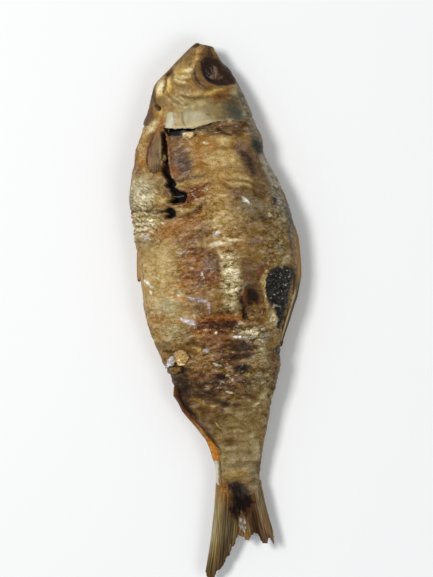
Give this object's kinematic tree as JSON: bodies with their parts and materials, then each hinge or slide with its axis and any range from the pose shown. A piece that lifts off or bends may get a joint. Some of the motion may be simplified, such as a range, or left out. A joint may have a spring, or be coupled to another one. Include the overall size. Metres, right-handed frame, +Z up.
{
  "type": "smoked fish",
  "caption": "Small whole smoked fish lying on its side, golden-brown and wrinkled, with folded fins, forked tail, sunken eye and torn belly; food prop.",
  "frame": {"origin": "centre of the bounding box in plan, on the surface that the fish lies on", "axes": "+Y from tail to snout, +X from belly to back, +Z up out of the flank that shows"},
  "size_m": [0.0684, 0.2208, 0.0279],
  "materials": {
    "smoked_skin": "oily golden-brown smoked fish skin with pale gold, red-brown, blue-grey and near-black patches, semi-gloss"
  },
  "bodies": {
    "root": {"smoked_fish": "smoked_skin"}
  },
  "joints": []
}
